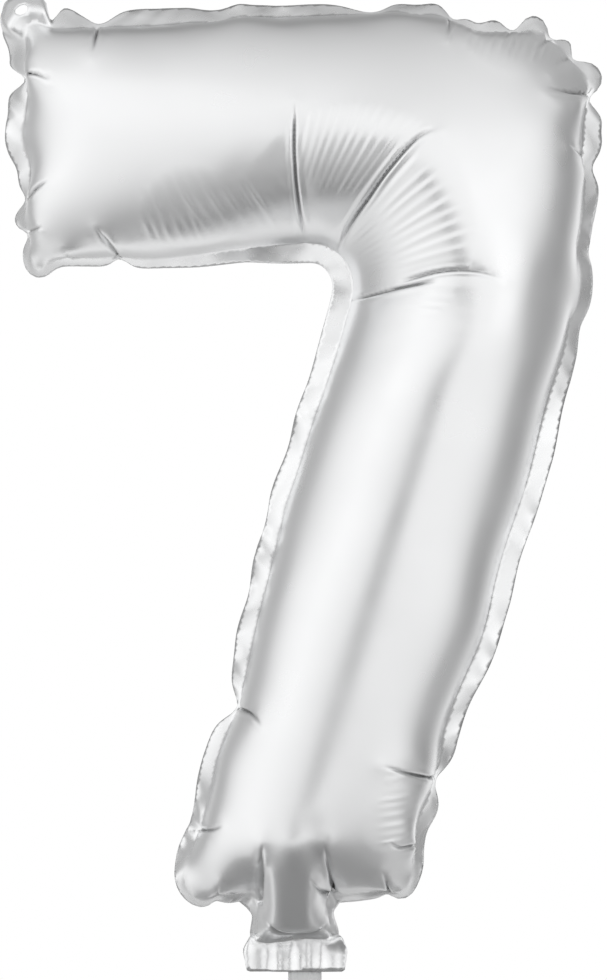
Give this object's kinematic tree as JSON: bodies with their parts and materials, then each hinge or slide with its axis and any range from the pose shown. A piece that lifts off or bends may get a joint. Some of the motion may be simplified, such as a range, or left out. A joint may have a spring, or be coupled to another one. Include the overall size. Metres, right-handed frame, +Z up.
{
  "type": "foil number balloon",
  "caption": "Air-filled foil balloon in the shape of a seven, two sealed film sheets with a flat weld margin, a hang hole and a short neck with a flat film valve.",
  "frame": {"origin": "centre of the hang hole in the tab at the free end of the bar, in the plane of the weld seam", "axes": "+Z up along the figure's height as it hangs, the front faces -Y, +X from the bar's free end towards the bend"},
  "size_m": [0.22, 0.0804, 0.3655],
  "materials": {
    "foil": "satin metallised film, softly mirror-like",
    "weld": "satin metallised film, crimped by the heat seal",
    "valve_film": "thin milky clear film",
    "release_print": "matt heat-resistant coat"
  },
  "bodies": {
    "balloon": {"front_foil": "foil", "back_foil": "foil", "perimeter_weld": "weld", "valve_front_film": "valve_film", "valve_back_film": "valve_film", "valve_edge_welds": "valve_film"},
    "neck_flap": {"flap_front_foil": "foil", "flap_back_foil": "foil", "flap_side_welds": "weld", "flap_cross_weld": "weld", "flap_valve_front_film": "valve_film", "flap_valve_back_film": "valve_film", "flap_valve_edge_welds": "valve_film", "valve_release_print": "release_print"},
    "valve_tail": {"tail_front_film": "valve_film", "tail_back_film": "valve_film", "tail_edge_welds": "valve_film"}
  },
  "joints": [
    {"name": "neck_fold", "type": "hinge", "parent": "balloon", "child": "neck_flap", "pos_m": [0.099, 0, -0.335], "axis": [1, 0, 0], "range_deg": [-100, 100]},
    {"name": "tail_fold", "type": "hinge", "parent": "neck_flap", "child": "valve_tail", "pos_m": [0.102, 0, -0.3465], "axis": [1, 0, 0], "range_deg": [-50, 50]}
  ]
}
